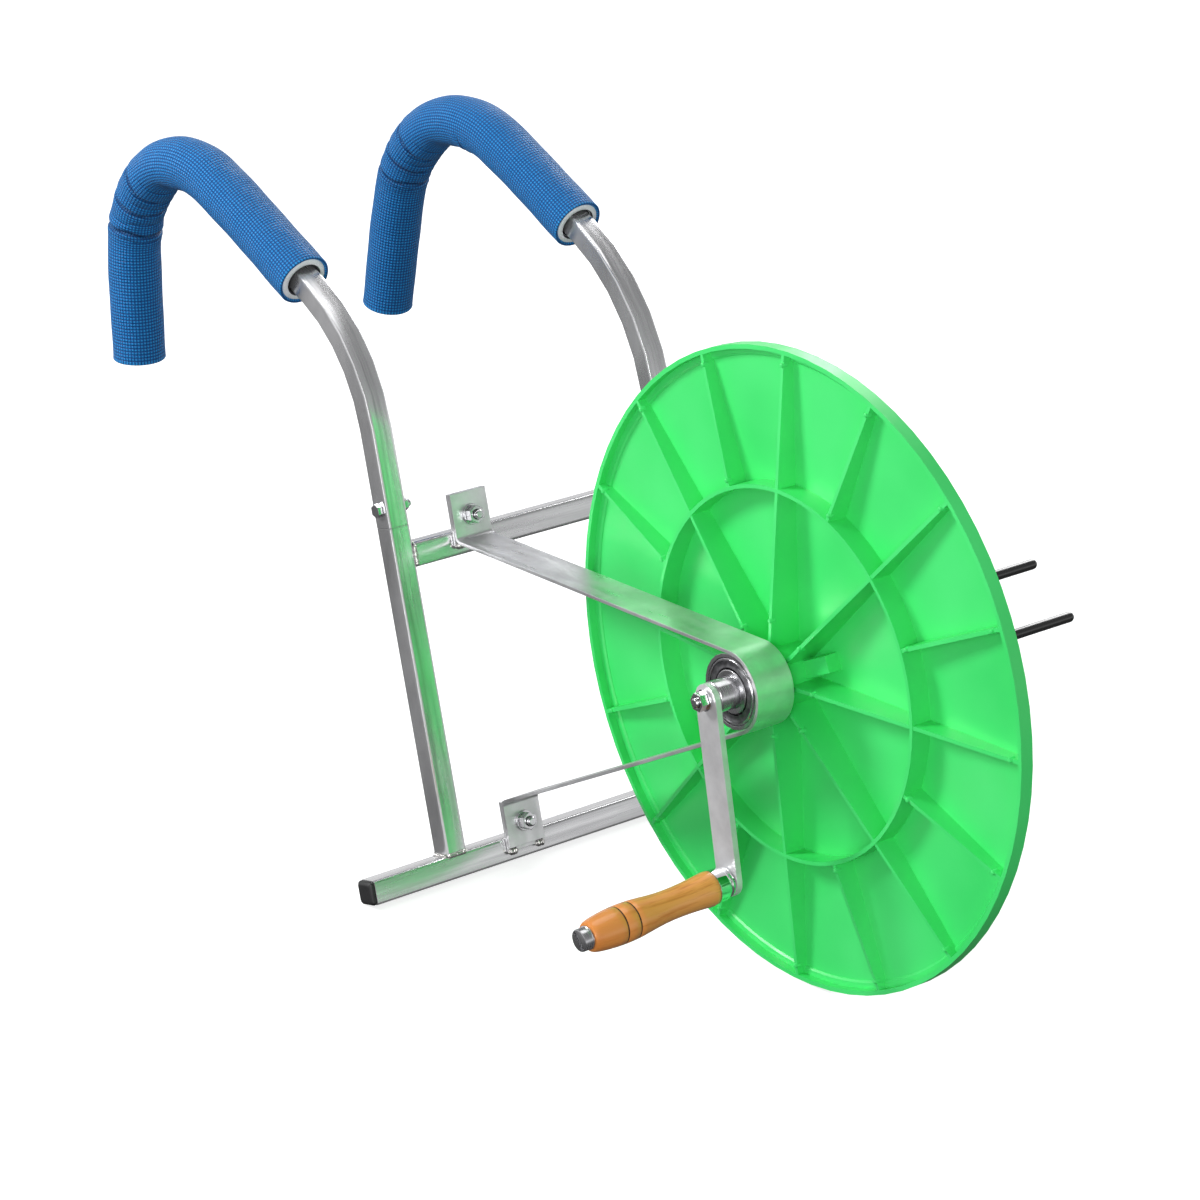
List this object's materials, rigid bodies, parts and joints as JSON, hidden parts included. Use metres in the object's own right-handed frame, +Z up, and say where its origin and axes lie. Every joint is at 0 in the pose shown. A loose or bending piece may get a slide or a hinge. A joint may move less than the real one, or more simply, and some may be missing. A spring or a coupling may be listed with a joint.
{
  "type": "hand-cranked hose winder",
  "caption": "Shoulder-hung hand winder for flat garden hose: leaning tube frame with padded hooks, strap bearing bracket, ribbed disc with rod fork, and crank with wooden grip.",
  "frame": {"origin": "bottom centre of the whole winder, on the surface that its disc rim and lower crossbar stand on", "axes": "+X along the shaft, from the crank to the fork; +Y back towards the operator; +Z up"},
  "size_m": [0.4922, 1.0384, 0.537],
  "materials": {
    "zinc_steel": "zinc-plated mild steel, satin",
    "chromed_steel": "bright chrome plate",
    "bearing_steel": "ground bearing steel",
    "shield_steel": "pressed steel, dull",
    "green_plastic": "moulded plastic, semi-gloss",
    "black_rod": "black gloss coating",
    "black_plastic": "moulded plastic, satin",
    "white_foam": "closed-cell foam",
    "blue_cover": "coated cloth, embossed with a fine square grain",
    "varnished_wood": "turned hardwood, orange-brown gloss varnish"
  },
  "bodies": {
    "frame": {"bearing_housing": "zinc_steel", "bearing_shield_far": "shield_steel", "bearing_shield_near": "shield_steel", "bearing_strap": "zinc_steel", "bracket_bolt_lower": "zinc_steel", "bracket_bolt_upper": "zinc_steel", "bracket_nut_lower": "zinc_steel", "bracket_nut_upper": "zinc_steel", "bracket_washer_lower": "zinc_steel", "bracket_washer_upper": "zinc_steel", "foam_core_left": "white_foam", "foam_core_right": "white_foam", "foam_cover_left": "blue_cover", "foam_cover_right": "blue_cover", "foot_plug_left": "black_plastic", "foot_plug_right": "black_plastic", "hook_bolt_left": "zinc_steel", "hook_bolt_right": "zinc_steel", "hook_nut_left": "zinc_steel", "hook_nut_right": "zinc_steel", "hook_plug_left": "black_plastic", "hook_plug_right": "black_plastic", "hook_tube_left": "chromed_steel", "hook_tube_right": "chromed_steel", "lower_crossbar": "zinc_steel", "mount_plate_lower": "zinc_steel", "mount_plate_upper": "zinc_steel", "outer_race_far": "bearing_steel", "outer_race_near": "bearing_steel", "spigot_left": "zinc_steel", "spigot_right": "zinc_steel", "upper_crossbar": "chromed_steel", "upright_left": "chromed_steel", "upright_right": "chromed_steel"},
    "reel": {"shaft": "zinc_steel", "inner_race_far": "bearing_steel", "inner_race_near": "bearing_steel", "hub_spacer": "zinc_steel", "reel_disc": "green_plastic", "hub_flange": "zinc_steel", "disc_screw_1": "zinc_steel", "disc_screw_2": "zinc_steel", "disc_screw_3": "zinc_steel", "disc_screw_4": "zinc_steel", "fork_rod_back": "black_rod", "fork_rod_front": "black_rod", "crank_arm": "zinc_steel", "crank_stud": "zinc_steel", "crank_washer": "zinc_steel", "crank_nut": "zinc_steel", "grip_spindle": "zinc_steel", "grip_collar": "chromed_steel", "grip_end_nut": "bearing_steel"},
    "grip": {"wooden_grip": "varnished_wood", "grip_ferrule": "chromed_steel"},
    "ball_cages": {"ball_cage_far": "bearing_steel", "ball_cage_near": "bearing_steel"}
  },
  "joints": [
    {"name": "reel_turn", "type": "hinge", "parent": "frame", "child": "reel", "pos_m": [-0.02569, -0.26939, 0.24976], "axis": [1, 0, 0], "continuous": true},
    {"name": "grip_turn", "type": "hinge", "parent": "reel", "child": "grip", "pos_m": [-0.02576, -0.29706, 0.11596], "axis": [0.999, 0, 0.0436], "continuous": true},
    {"name": "cage_turn", "type": "hinge", "parent": "frame", "child": "ball_cages", "pos_m": [-0.02569, -0.26939, 0.24976], "axis": [1, 0, 0], "continuous": true}
  ],
  "couplings": [
    {"joint": "cage_turn", "follows": "reel_turn", "ratio": 0.405}
  ]
}
